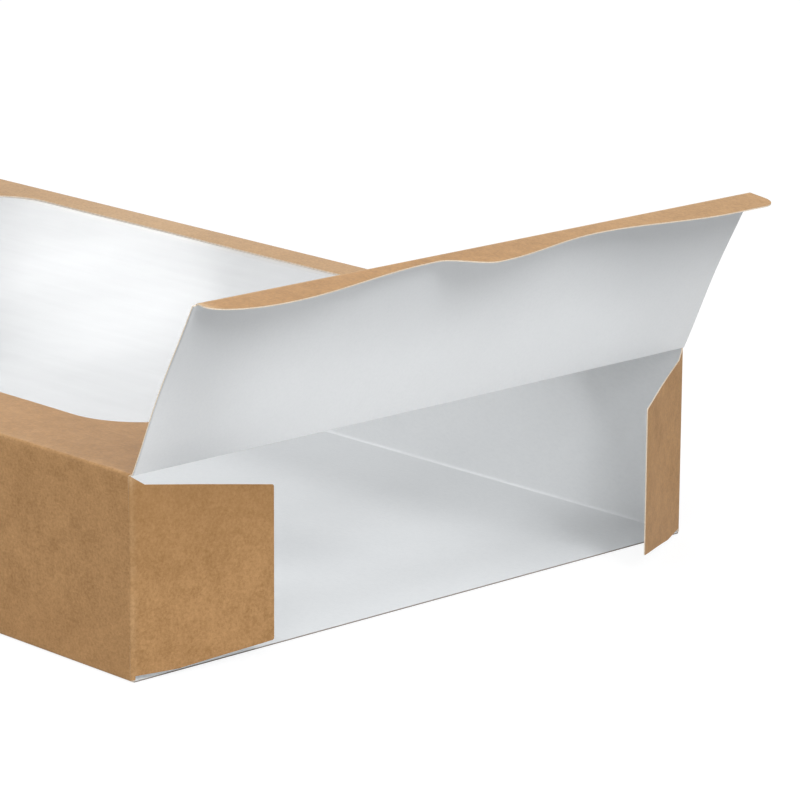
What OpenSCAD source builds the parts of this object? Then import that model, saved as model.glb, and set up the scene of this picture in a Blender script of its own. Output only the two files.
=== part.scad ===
// Takeaway box folded from one sheet of unbleached board, lying on its floor.
// The top has a clear film window. Each end closes with a lid flap, its tuck and two dust flaps.
// The front end, towards +X, stands open; the rear end is closed.
// The origin is the middle of the floor's underside. X runs along the box and Z is up.

/* [Box] */
// Length of the box, from end to end
box_l = 500; // [400:1:600]
// Width of the box, over its two side walls
box_w = 305; // [240:1:360]
// Height of the box, over its floor and top
box_h = 83; // [60:1:110]

/* [Board] */
// Thickness of the board
board_t = 0.5; // [0.4:0.05:0.7]
// Outer radius of a folded edge of the sleeve
fold_r = 1.2; // [0.9:0.1:2]
// Clearance between layers that lie on each other when the box is closed
layer_gap = 0.3; // [0.25:0.05:0.5]
// Clearance between a flap's rounded root and the board it is creased to
crease_gap = 0.2; // [0.15:0.05:0.3]

/* [Window] */
// Distance of the window from the left side wall
window_left = 41; // [25:1:60]
// Distance of the window from the right side wall
window_right = 17; // [14:1:60]
// Distance of the window from each end of the box
window_end = 48; // [30:1:80]
// Corner radius of the window
window_r = 37; // [10:1:60]
// Thickness of the film
film_t = 0.1; // [0.05:0.05:0.2]
// Width of the glued rim of film around the window
film_lap = 11; // [5:1:12]

/* [Lid flap] */
// How far the front lid flap is raised above level
lid_angle = 63.5; // [40:0.5:90]
// How much shorter the lid flap is than the box's width, at each side
lid_side_gap = 0.5; // [0.3:0.1:2]
// Setback of the top panel's end from the end of the box, which lets the lid fold back
top_setback = 0.3; // [0.2:0.1:1]

/* [Tuck flap] */
// How far the front tuck flap is bent out of the lid flap's plane
tuck_bend = 70; // [50:1:100]
// How far the rear tuck flap is bent, tucked in over the floor
rear_tuck_bend = 98; // [96:1:100]
// Clearance of each end of the tuck flap from the side wall's inner face
tuck_side_gap = 1.5; // [1.2:0.1:4]
// Clearance between the floor and the fold of a closed tuck flap
tuck_floor_gap = 0.5; // [0.4:0.1:1]
// Depth of the tuck flap at its left end
tuck_left_end = 4; // [2:0.5:10]
// Length of the curve from the left end to the left lobe
tuck_left_run = 32; // [10:1:45]
// Depth of the left lobe
tuck_left_lobe = 15.5; // [11:0.5:18]
// Distance of the left waist from the middle
tuck_left_waist_y = 33; // [28:1:50]
// Depth of the left waist
tuck_left_waist = 6; // [4:0.5:10]
// Distance of the thumb lobe from the middle, to the left
tuck_thumb_y = 11; // [0:1:20]
// Depth of the thumb lobe
tuck_thumb = 17.5; // [12:0.5:18]
// Distance of the right waist from the middle
tuck_right_waist_y = 52; // [30:1:70]
// Depth of the right waist
tuck_right_waist = 9.5; // [5:0.5:11]
// Distance of the start of the right lobe from the right end
tuck_right_lobe_run = 27; // [15:1:40]
// Depth of the right lobe
tuck_right_lobe = 17; // [12:0.5:18]
// Radius of the corner at the right end
tuck_right_r = 8; // [3:0.5:10]

/* [Dust flaps] */
// Depth of a dust flap, from its crease to its free edge
dust_depth = 62; // [40:1:80]
// Distance of the shoulder from the crease
dust_shoulder = 6; // [3:0.5:12]
// Drop of the top edge from the crease to the shoulder
dust_shoulder_drop = 4; // [2:0.5:8]
// Drop of the top edge from the crease to the free edge
dust_top_drop = 11.6; // [9:0.1:16]
// Rise of the bottom edge at the free edge, above the floor
dust_foot_rise = 7.2; // [4:0.1:12]
// Width of the foot that stands on the floor beside the crease
dust_foot_w = 1.2; // [0.8:0.1:1.3]
// Distance from the crease at which the bottom edge begins to rise
dust_foot_run = 20; // [12:1:30]
// Clearance between the foot and the floor
dust_foot_gap = 0.4; // [0.3:0.1:0.6]
// Clearance between a dust flap and a closed tuck flap under it, which swings in past it
dust_tuck_gap = 1; // [0.9:0.1:1.6]
// How far the left dust flap has swung from its wall's line, where 90 is closed
left_swing = 77.5; // [60:0.5:90]
// How far the right dust flap has swung from its wall's line
right_swing = 60; // [50:0.5:90]

/* [Glued seam] */
// Height of the glue flap on the inside of the left wall
glue_h = 15; // [8:1:25]
// Setback of the glue flap from each end of the box
glue_setback = 6; // [3:1:15]
// Slope of the glue flap's ends, in run over its height
glue_taper = 8; // [3:1:15]

/* [Hidden] */
$fn = 64;
board_colour = "#b98d5f";
film_colour = "#eef2f5";

// Points along each curved stretch of the tuck flap's edge
curve_steps = 10;

// Distances from the middle of the box
half_l = box_l / 2;
half_w = box_w / 2;
panel_w = box_w - 2 * fold_r;

// Crease of a dust flap, in its closed plane just inside the box's end
dust_x = half_l - board_t / 2;
dust_y = half_w - board_t / 2;
// Crease of a lid flap, one layer outside the dust flaps
lid_x = half_l + layer_gap + board_t / 2;
lid_z = box_h - board_t / 2;
lid_w = box_w - 2 * lid_side_gap;
// The closed tuck's fold lies just above the floor, which sets the lid flap's length
tuck_fold_z = board_t + tuck_floor_gap + board_t / 2;
lid_len = lid_z - tuck_fold_z;
tuck_w = box_w - 2 * board_t - 2 * tuck_side_gap;

// The side walls stop short of the front dust flaps' rounded roots
wall_front_x = dust_x - board_t / 2 - crease_gap;
wall_rear_x = -half_l + fold_r;
top_end_x = half_l - top_setback;

// Heights of a dust flap's edges
dust_root_z = board_t + dust_foot_gap;
dust_foot_z = tuck_fold_z + board_t / 2 + dust_tuck_gap;
dust_low_z = board_t + dust_foot_rise;
dust_top_z = box_h - board_t - layer_gap;

// Middle height of the sleeve's section
mid_z = box_h / 2;

// Cosine blend from a to b as f goes from 0 to 1
function blend(a, b, f) = a + (b - a) * (1 - cos(180 * f)) / 2;

// Points of one blended stretch of the tuck's edge, from one [depth, y] to the next
function stretch(p, q) = [
    for (k = [0 : curve_steps - 1])
        let (f = k / curve_steps)
        [blend(p[0], q[0], f), p[1] + (q[1] - p[1]) * f]
];

// Points of a quarter ellipse from the corner point p, rising to q
function quarter(p, q) = [
    for (k = [0 : curve_steps - 1])
        let (a = 90 * k / curve_steps)
        [p[0] + (q[0] - p[0]) * sin(a), p[1] + (q[1] - p[1]) * (1 - cos(a))]
];

// A list read backwards
function backwards(list) = [for (k = [len(list) - 1 : -1 : 0]) list[k]];

// Rectangle with round corners, centred on the origin
module rounded_rect(w, h, r) {
    square([w - 2 * r, h], center = true);
    square([w, h - 2 * r], center = true);
    for (sx = [-1, 1])
        for (sy = [-1, 1])
            translate([sx * (w / 2 - r), sy * (h / 2 - r)])
                circle(r = r);
}

// Window outline, grown by a margin on every side
module window_outline(margin) {
    w = box_w - window_left - window_right;
    translate([0, (window_left - window_right) / 2])
        rounded_rect(box_l - 2 * window_end + 2 * margin, w + 2 * margin, window_r + margin);
}

// Floor, side walls and top as one folded tube of board
module sleeve() {
    translate([wall_rear_x, 0, mid_z])
        rotate([90, 0, 90])
            linear_extrude(wall_front_x - wall_rear_x)
                difference() {
                    rounded_rect(box_w, box_h, fold_r);
                    rounded_rect(box_w - 2 * board_t, box_h - 2 * board_t, fold_r - board_t);
                }
}

// Flat stretch of the floor or top, between the sleeve's folds
module panel(x0, x1, z0) {
    translate([x0, -panel_w / 2, z0])
        cube([x1 - x0, panel_w, board_t]);
}

// Outline of a dust flap: depth from the crease along X, height along Y
module dust_outline(root) {
    polygon([
        [root, dust_root_z],
        [dust_foot_w, dust_root_z],
        [dust_foot_w, dust_foot_z],
        [dust_foot_run, dust_foot_z],
        [dust_depth, dust_low_z],
        [dust_depth, dust_top_z - dust_top_drop],
        [dust_shoulder, dust_top_z - dust_shoulder_drop],
        [root, dust_top_z]
    ]);
}

// Rear dust flap folded in from a side wall; side is -1 for left and 1 for right
module rear_dust_flap(side) {
    root = fold_r - board_t / 2;
    mirror([0, side < 0 ? 1 : 0, 0])
        translate([-half_l, half_w, 0]) {
            translate([board_t, -board_t / 2, 0])
                rotate([90, 0, -90])
                    linear_extrude(board_t)
                        dust_outline(root);
            translate([fold_r, -fold_r, dust_root_z])
                rotate([0, 0, 90])
                    rotate_extrude(angle = 90)
                        translate([fold_r - board_t, 0])
                            square([board_t, dust_top_z - dust_root_z]);
        }
}

// Glue flap on the inside of the left wall
module glue_flap() {
    x = half_l - glue_setback;
    translate([0, -half_w + board_t, 0])
        mirror([0, 1, 0])
            rotate([90, 0, 0])
                linear_extrude(board_t)
                    polygon([
                        [-x, board_t],
                        [x, board_t],
                        [x - glue_taper, glue_h],
                        [-x + glue_taper, glue_h]
                    ]);
}

module carton_body() {
    color(board_colour)
        difference() {
            union() {
                sleeve();
                panel(-half_l, half_l, 0);
                panel(-top_end_x, top_end_x, box_h - board_t);
                rear_dust_flap(-1);
                rear_dust_flap(1);
                glue_flap();
            }
            translate([0, 0, box_h - 2 * board_t])
                linear_extrude(3 * board_t)
                    window_outline(0);
        }
}

// Film glued to the underside of the top, around the window
module window_film() {
    color(film_colour)
        translate([0, 0, box_h - board_t - film_t])
            linear_extrude(film_t)
                window_outline(film_lap);
}

// Half-round root of a flap along Y, facing -X
module flap_root(w) {
    translate([0, w / 2, 0])
        rotate([90, -90, 0])
            rotate_extrude(angle = 180)
                square([board_t / 2, w]);
}

// Lid flap lying level: its crease on the Y axis, its free end towards +X
module lid_flap() {
    flap_root(lid_w);
    translate([0, -lid_w / 2, -board_t / 2])
        cube([lid_len - board_t / 2 - crease_gap, lid_w, board_t]);
}

// Edge of the tuck flap as [depth, y] points, from the left end to the right
function tuck_points() =
    let (
        left = -tuck_w / 2,
        right = tuck_w / 2,
        left_corner = [tuck_left_end, left],
        left_lobe = [tuck_left_lobe, left + tuck_left_run],
        left_waist = [tuck_left_waist, -tuck_left_waist_y],
        thumb = [tuck_thumb, -tuck_thumb_y],
        right_waist = [tuck_right_waist, tuck_right_waist_y],
        right_lobe = [tuck_right_lobe, right - tuck_right_lobe_run],
        right_start = [tuck_right_lobe, right - tuck_right_r],
        right_corner = [tuck_right_lobe - tuck_right_r, right]
    )
    concat(
        [[0, left]],
        quarter(left_corner, left_lobe),
        stretch(left_lobe, left_waist),
        stretch(left_waist, thumb),
        stretch(thumb, right_waist),
        stretch(right_waist, right_lobe),
        [right_lobe, right_start],
        backwards(quarter(right_corner, right_start)),
        [[0, right]]
    );

// Tuck flap lying level: its crease on the Y axis, its waved edge towards +X
module tuck_flap() {
    flap_root(tuck_w);
    translate([0, 0, -board_t / 2])
        linear_extrude(board_t)
            polygon(tuck_points());
}

module front_lid_flap() {
    color(board_colour)
        translate([lid_x, 0, lid_z])
            rotate([0, -lid_angle, 0])
                lid_flap();
}

module front_tuck_flap() {
    color(board_colour)
        translate([lid_x, 0, lid_z])
            rotate([0, -lid_angle, 0])
                translate([lid_len, 0, 0])
                    rotate([0, tuck_bend, 0])
                        tuck_flap();
}

// Dust flap in its wall's line: its crease on the Z axis, its free edge towards +X
module dust_flap() {
    translate([0, board_t / 2, 0])
        rotate([90, 0, 0])
            linear_extrude(board_t)
                dust_outline(0);
    translate([0, 0, dust_root_z])
        rotate([0, 0, 90])
            rotate_extrude(angle = 180)
                square([board_t / 2, dust_top_z - dust_root_z]);
}

module front_dust_flap_left() {
    color(board_colour)
        translate([dust_x, -dust_y, 0])
            rotate([0, 0, left_swing])
                dust_flap();
}

module front_dust_flap_right() {
    color(board_colour)
        translate([dust_x, dust_y, 0])
            rotate([0, 0, -right_swing])
                dust_flap();
}

// Rear lid flap hanging closed, with its tuck folded in over the floor
module rear_lid_flap() {
    color(board_colour)
        translate([-lid_x, 0, lid_z])
            rotate([0, 0, 180])
                rotate([0, 90, 0]) {
                    lid_flap();
                    translate([lid_len - board_t / 2 - crease_gap, -tuck_w / 2, -board_t / 2])
                        cube([board_t / 2 + crease_gap, tuck_w, board_t]);
                    translate([lid_len, 0, 0])
                        rotate([0, rear_tuck_bend, 0])
                            tuck_flap();
                }
}

carton_body();
window_film();
front_lid_flap();
front_tuck_flap();
front_dust_flap_left();
front_dust_flap_right();
rear_lid_flap();
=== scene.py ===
"""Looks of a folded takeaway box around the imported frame: board skins, film, studio and camera.

Sizes are in millimetres up to make_piece, which writes the meshes in metres. The lamps and the
studio floor are set in metres.
"""

import logging
import math
from dataclasses import dataclass, field, replace
from enum import Enum, IntEnum

import bpy
import numpy as np
from mathutils import Matrix
from numpy.typing import ArrayLike


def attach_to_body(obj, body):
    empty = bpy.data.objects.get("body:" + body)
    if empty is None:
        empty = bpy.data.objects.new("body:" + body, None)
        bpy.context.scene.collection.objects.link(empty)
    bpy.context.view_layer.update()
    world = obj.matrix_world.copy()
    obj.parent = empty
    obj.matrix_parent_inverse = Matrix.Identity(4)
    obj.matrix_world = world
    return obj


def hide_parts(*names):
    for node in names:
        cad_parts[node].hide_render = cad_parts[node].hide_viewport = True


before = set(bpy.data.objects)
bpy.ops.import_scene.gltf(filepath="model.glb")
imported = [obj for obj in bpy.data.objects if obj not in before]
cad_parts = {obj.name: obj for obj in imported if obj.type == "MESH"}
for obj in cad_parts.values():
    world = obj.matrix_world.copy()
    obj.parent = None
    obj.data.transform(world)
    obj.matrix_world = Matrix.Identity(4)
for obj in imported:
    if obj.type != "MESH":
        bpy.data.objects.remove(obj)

LOG = logging.getLogger("takeaway_box")
MM = 0.001
GLUE_GAP = 0.02  # millimetres of glue between two sheets
SMOOTH_ANGLE = math.radians(50)  # a fold sharper than this is shaded sharp
NOISE_SPAN = (0.3, 0.7)  # values that a noise mostly stays between

Colour = tuple[float, float, float]
Pair = tuple[float, float]
Point = tuple[float, float, float]
Stretch = tuple[float, float, float]
Socket = bpy.types.NodeSocket


class Side(IntEnum):
    """Side wall of the box, by the sign of its Y."""

    LEFT = -1
    RIGHT = 1


class End(IntEnum):
    """End of the box, by the sign of its X."""

    REAR = -1
    FRONT = 1


class Skin(IntEnum):
    """Material index of each kind of face on a sheet of board."""

    OUTER = 0
    INNER = 1
    CUT = 2


class Slot(str, Enum):
    """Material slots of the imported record."""

    BOARD = "board"
    FILM = "film"


@dataclass(frozen=True)
class BoxSizes:
    """Sizes of the folded box in millimetres and degrees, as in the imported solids."""

    length: float = 500.0
    width: float = 305.0
    height: float = 83.0
    board: float = 0.5
    fold_radius: float = 1.2
    crease_x: float = 249.75
    crease_y: float = 152.25
    lid_x: float = 250.55
    lid_z: float = 82.75
    lid_length: float = 81.5
    lid_half_width: float = 152.0
    front_lid_raise: float = 63.5
    rear_lid_raise: float = -90.0
    front_tuck_bend: float = 70.0
    rear_tuck_bend: float = 98.0
    left_dust_swing: float = 77.5
    right_dust_swing: float = 60.0
    rear_dust_swing: float = 90.0

    @property
    def half_board(self) -> float:
        """Half the thickness of the board."""
        return self.board / 2

    @property
    def mid_radius(self) -> float:
        """Radius of a sleeve fold, at the middle of the board."""
        return self.fold_radius - self.half_board


BOX = BoxSizes()


def ease(value: np.ndarray, start: float, run: float) -> np.ndarray:
    """Cubic ease: 0 up to the start, 1 from a run further on, and level at both."""
    share = np.clip((value - start) / run, 0.0, 1.0)
    return share * share * (3.0 - 2.0 * share)


def bell(value: np.ndarray, middle: float, spread: float) -> np.ndarray:
    """Bell curve: e to minus the square of the distance from the middle, counted in spreads."""
    return np.exp(-(((value - middle) / spread) ** 2))


def vectors(x: ArrayLike, y: ArrayLike, z: ArrayLike) -> np.ndarray:
    """Stacks three parts, each a grid or a number, as points or directions (x, y, z)."""
    return np.stack(np.broadcast_arrays(x, y, z), -1)


def spaced(*stretches: tuple[float, float, int]) -> np.ndarray:
    """Rising values, each once, in even steps over stretches given as (start, end, steps)."""
    parts = [np.linspace(start, end, steps + 1) for start, end, steps in stretches]
    return np.unique(np.round(np.concatenate(parts), 6))


class Nodes:
    """The node tree of a material or a world, with short ways to add and join its nodes."""

    def __init__(
        self, owner: bpy.types.Material | bpy.types.World, output: str = "Material"
    ) -> None:
        """Empties the tree and adds its output.

        Args:
            owner: the new material or world.
            output: which of the two it is, as the output node is named.
        """
        owner.use_nodes = True
        self.owner, self.tree = owner, owner.node_tree
        self.tree.nodes.clear()
        self.output = self.add("Output" + output)

    def add(self, kind: str, inputs: dict | None = None, **settings: object) -> bpy.types.Node:
        """Adds a node, sets its properties and fills or links its inputs.

        Args:
            kind: the node's type without its ShaderNode prefix.
            inputs: values or sockets by input name or number.
            settings: properties of the node.

        Returns:
            the new node.
        """
        node = self.tree.nodes.new("ShaderNode" + kind)
        for key, value in settings.items():
            setattr(node, key, value)
        for key, value in (inputs or {}).items():
            if isinstance(value, Socket):
                self.tree.links.new(value, node.inputs[key])
            else:
                node.inputs[key].default_value = value
        return node

    def millimetres(self, stretch: Stretch = (1.0, 1.0, 1.0)) -> Socket:
        """Object coordinates in millimetres, stretched along each axis.

        Args:
            stretch: factor on each axis.

        Returns:
            the vector socket.
        """
        place = self.add("TexCoord").outputs["Object"]
        scale = tuple(part / MM for part in stretch)
        return self.add("Mapping", {"Vector": place, "Scale": scale}).outputs["Vector"]

    def noise(self, vector: Socket, scale: float, detail: float, rough: float = 0.55) -> Socket:
        """Soft noise around one half, by patches a unit, octaves and each finer octave's share."""
        inputs = {"Vector": vector, "Scale": scale, "Detail": detail, "Roughness": rough}
        return self.add("TexNoise", inputs).outputs["Fac"]

    def ramp(self, value: Socket, low: float, high: float, start: float, end: float) -> Socket:
        """Maps a number so that low gives start and high gives end, and holds it between them."""
        inputs = {"Value": value, "From Min": low, "From Max": high, "To Min": start, "To Max": end}
        return self.add("MapRange", inputs).outputs["Result"]

    def attribute(self, word: str) -> Socket:
        """A point attribute of the mesh, as a number."""
        return self.add("Attribute", attribute_name=word).outputs["Fac"]

    def maths(self, operation: str, first: object, second: object) -> Socket:
        """One sum of two numbers or sockets, named as the Math node's operation."""
        return self.add("Math", {0: first, 1: second}, operation=operation).outputs[0]

    def mix(self, factor: Socket, first: Socket | Colour, second: Socket | Colour) -> Socket:
        """Mixes two colours.

        Args:
            factor: share of the second.
            first: colour or socket.
            second: colour or socket.

        Returns:
            the colour socket.
        """
        tones = (value if isinstance(value, Socket) else (*value, 1.0) for value in (first, second))
        inputs = dict(zip((0, 6, 7), (factor, *tones)))
        return self.add("Mix", inputs, data_type="RGBA").outputs[2]

    def backdrop_ray(self) -> Socket:
        """Tells which rays see the backdrop: from the camera, from gloss or through a clear piece.

        Returns:
            a number that is 1 for such a ray and 0 for any other.
        """
        path = self.add("LightPath").outputs
        seen = self.maths("MAXIMUM", path["Is Camera Ray"], path["Is Glossy Ray"])
        return self.maths("MAXIMUM", seen, path["Is Transmission Ray"])

    def surface(self, height: Socket, bump: Pair, inputs: dict[str, object]) -> bpy.types.Material:
        """Joins a Principled surface with a bump to the output.

        Args:
            height: what the bump follows.
            bump: its strength and its depth in metres.
            inputs: the surface's other values or sockets, by input name.

        Returns:
            the material.
        """
        relief = self.add("Bump", {"Height": height, "Strength": bump[0], "Distance": bump[1]})
        shader = self.add("BsdfPrincipled", {"Normal": relief.outputs["Normal"], **inputs})
        return self.finish(shader)

    def finish(self, shader: bpy.types.Node) -> bpy.types.Material | bpy.types.World:
        """Joins the shader to the output and gives the tree's owner."""
        self.tree.links.new(shader.outputs[0], self.output.inputs["Surface"])
        return self.owner


@dataclass(frozen=True)
class KraftFinish:
    """Brown outside of the board: cloudy pulp, fibres, flecks, paler wear with painted sheen, and
    painted shade.

    A scale is patches a millimetre. A share is how much of a tone a noise brings: at most, or at
    its low and its high values.
    """

    name: str = "kraft_board"
    dark: Colour = (0.283, 0.144, 0.049)
    light: Colour = (0.555, 0.314, 0.137)
    worn_and_sheen: Colour = (0.62, 0.42, 0.24)
    fleck: Colour = (0.24, 0.12, 0.045)
    patch_scale: float = 0.055
    patch_share: Pair = (0.0, 0.2)
    cloud_scale: float = 0.2
    cloud_share: Pair = (0.03, 0.3)
    pulp_scale: float = 0.8
    pulp_share: Pair = (0.0, 0.47)
    fibre_scale: float = 1.0
    along_stretch: Stretch = (0.22, 1.7, 1.7)
    along_share: float = 0.5
    across_stretch: Stretch = (0.9, 0.4, 1.3)
    across_share: float = 0.22
    fleck_scale: float = 0.4
    fleck_share: float = 0.45
    fleck_radius: Pair = (0.04, 0.12)
    scuff_share: Pair = (0.45, 1.0)
    roughness: Pair = (0.54, 0.68)
    specular: float = 0.2
    bump: Pair = (0.4, 0.00008)

    def make(self) -> bpy.types.Material:
        """Builds the material.

        Three noises of falling size are added up and pick a tone between dark and light. Long and
        cross fibres, sparse flecks, the painted shade and the wear with its painted sheen are laid
        over it.

        Returns:
            the material.
        """
        n = Nodes(bpy.data.materials.new(self.name))
        place = n.millimetres()
        pulp = n.noise(place, self.pulp_scale, 4.0, 0.7)
        patch = n.ramp(n.noise(place, self.patch_scale, 2.0), *NOISE_SPAN, *self.patch_share)
        cloud = n.ramp(n.noise(place, self.cloud_scale, 3.0, 0.6), *NOISE_SPAN, *self.cloud_share)
        fine = n.ramp(pulp, *NOISE_SPAN, *self.pulp_share)
        tone = n.mix(n.maths("ADD", n.maths("ADD", patch, cloud), fine), self.dark, self.light)
        along = n.noise(n.millimetres(self.along_stretch), self.fibre_scale, 3.0, 0.6)
        across = n.noise(n.millimetres(self.across_stretch), self.fibre_scale, 3.0, 0.6)
        tone = n.mix(n.ramp(along, 0.55, 0.75, 0.0, self.along_share), tone, self.light)
        tone = n.mix(n.ramp(across, 0.56, 0.76, 0.0, self.across_share), tone, self.dark)
        cell = n.add("TexVoronoi", {"Vector": place, "Scale": self.fleck_scale}, feature="F1")
        spot = n.ramp(cell.outputs["Distance"], *self.fleck_radius, self.fleck_share, 0.0)
        tone = n.mix(spot, tone, self.fleck)
        # Painted shade from the point attribute darkens the tone.
        tone = n.mix(n.attribute("painted_shade"), tone, self.dark)
        scuff = n.ramp(pulp, 0.3, 0.62, *self.scuff_share)
        # Wear and painted sheen from the point attribute pale the tone.
        tone = n.mix(n.maths("MULTIPLY", n.attribute("wear_and_sheen"), scuff), tone, self.worn_and_sheen)
        height = n.maths("ADD", n.maths("MULTIPLY", pulp, 0.5), n.maths("MULTIPLY", along, 0.5))
        inputs = {
            "Base Color": tone,
            "Roughness": n.ramp(pulp, *NOISE_SPAN, *self.roughness),
            "Specular IOR Level": self.specular,
        }
        return n.surface(height, self.bump, inputs)


@dataclass(frozen=True)
class WhiteFinish:
    """White coated inside of the board: faint clouds, fine grain and sheen, greyer where shade is
    painted.
    """

    name: str = "white_lining"
    colour: Colour = (0.892, 0.898, 0.9)
    shade: Colour = (0.827, 0.836, 0.842)
    painted_shade_tone: Colour = (0.42, 0.43, 0.44)
    cloud_scale: float = 0.03
    cloud_share: float = 0.3
    grain_scale: float = 0.9
    grain_stretch: Stretch = (0.5, 1.0, 1.0)
    grain_share: float = 0.4
    roughness: Pair = (0.45, 0.58)
    specular: float = 0.3
    bump: Pair = (0.25, 0.00004)

    def make(self) -> bpy.types.Material:
        """Builds the material: clouds and grain darken the colour a little, and the painted shade
        greys it.

        Returns:
            the material.
        """
        n = Nodes(bpy.data.materials.new(self.name))
        cloud = n.noise(n.millimetres(), self.cloud_scale, 3.0)
        grain = n.noise(n.millimetres(self.grain_stretch), self.grain_scale, 4.0, 0.62)
        tone = n.mix(n.ramp(cloud, 0.35, 0.7, 0.0, self.cloud_share), self.colour, self.shade)
        tone = n.mix(n.ramp(grain, 0.42, 0.66, 0.0, self.grain_share), tone, self.shade)
        inputs = {
            # Painted shade from the point attribute greys the colour.
            "Base Color": n.mix(n.attribute("painted_shade"), tone, self.painted_shade_tone),
            "Roughness": n.ramp(grain, *NOISE_SPAN, *self.roughness),
            "Specular IOR Level": self.specular,
        }
        return n.surface(grain, self.bump, inputs)


@dataclass(frozen=True)
class CutFinish:
    """Cream cut edge of the board, where its core shows, with a painted contact shadow where it
    meets the table.
    """

    name: str = "cut_edge"
    colour: Colour = (0.8, 0.68, 0.54)
    shade: Colour = (0.58, 0.43, 0.3)
    contact_shadow: Colour = (0.16, 0.14, 0.13)
    ragged_scale: float = 1.4
    ragged_share: float = 0.7
    contact_shadow_height: Pair = (0.3, 0.7)
    contact_shadow_share: float = 0.9
    roughness: float = 0.8

    def make(self) -> bpy.types.Material:
        """Builds the material: a ragged noise darkens the colour, and its lowest height has a
        painted contact shadow.

        Returns:
            the material.
        """
        n = Nodes(bpy.data.materials.new(self.name))
        ragged = n.noise(n.millimetres(), self.ragged_scale, 4.0, 0.6)
        tone = n.mix(n.ramp(ragged, 0.45, 0.75, 0.0, self.ragged_share), self.colour, self.shade)
        height = n.add("SeparateXYZ", {"Vector": n.millimetres()}).outputs["Z"]
        # Painted contact shadow: the lowest height is darkened.
        contact_shadow_mask = n.ramp(height, *self.contact_shadow_height, self.contact_shadow_share, 0.0)
        inputs = {"Base Color": n.mix(contact_shadow_mask, tone, self.contact_shadow), "Roughness": self.roughness}
        return n.finish(n.add("BsdfPrincipled", inputs))


@dataclass(frozen=True)
class FilmFinish:
    """Clear glossy film: milky at a low angle, faintly streaked, with a grey, denser strip of
    painted reflection.
    """

    name: str = "window_film"
    colour: Colour = (0.735, 0.73, 0.728)
    reflection_band: Colour = (0.6, 0.565, 0.53)
    reflection_veil: float = 0.35
    clear: float = 0.06
    milky: float = 0.95
    milky_power: float = 2.5
    streak_stretch: Stretch = (0.012, 0.12, 1.0)
    streak_veil: Pair = (0.975, 1.02)
    haze_scale: float = 0.02
    haze_veil: Pair = (0.96, 1.04)
    roughness: Pair = (0.125, 0.135)
    specular: float = 0.36
    bump: Pair = (0.003, 0.0001)

    def make(self) -> bpy.types.Material:
        """Builds the material.

        The veil is the share of the film that is opaque. It rises from clear to milky with a power
        of the facing angle, streaks and haze vary it a little, and the painted reflection strip
        adds to it.

        Returns:
            the material.
        """
        n = Nodes(bpy.data.materials.new(self.name))
        streak = n.noise(n.millimetres(self.streak_stretch), 1.0, 3.0, 0.5)
        haze = n.noise(n.millimetres(), self.haze_scale, 2.0)
        facing = n.add("LayerWeight", {"Blend": 0.5}).outputs["Facing"]
        steep = n.maths("POWER", facing, self.milky_power)
        veil = n.ramp(steep, 0.0, 1.0, self.clear, self.milky)
        veil = n.maths("MULTIPLY", veil, n.ramp(streak, *NOISE_SPAN, *self.streak_veil))
        veil = n.maths("MULTIPLY", veil, n.ramp(haze, *NOISE_SPAN, *self.haze_veil))
        # Painted reflection of the board's shaded cut edge: the point attribute makes the film
        # greyer and denser.
        painted_shade = n.attribute("painted_shade")
        inputs = {
            "Base Color": n.mix(painted_shade, self.colour, self.reflection_band),
            "Roughness": n.ramp(streak, *NOISE_SPAN, *self.roughness),
            "Alpha": n.maths("ADD", veil, n.maths("MULTIPLY", painted_shade, self.reflection_veil)),
            "Specular IOR Level": self.specular,
        }
        return n.surface(streak, self.bump, inputs)


@dataclass
class Palette:
    """The finishes that the pieces share, made once."""

    kraft: bpy.types.Material = field(default_factory=lambda: KraftFinish().make())
    white: bpy.types.Material = field(default_factory=lambda: WhiteFinish().make())
    cut: bpy.types.Material = field(default_factory=lambda: CutFinish().make())
    film: bpy.types.Material = field(default_factory=lambda: FilmFinish().make())

    def board(self) -> list[bpy.types.Material]:
        """Materials of a sheet of board, in the order of Skin."""
        return [self.kraft, self.white, self.cut]


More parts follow.
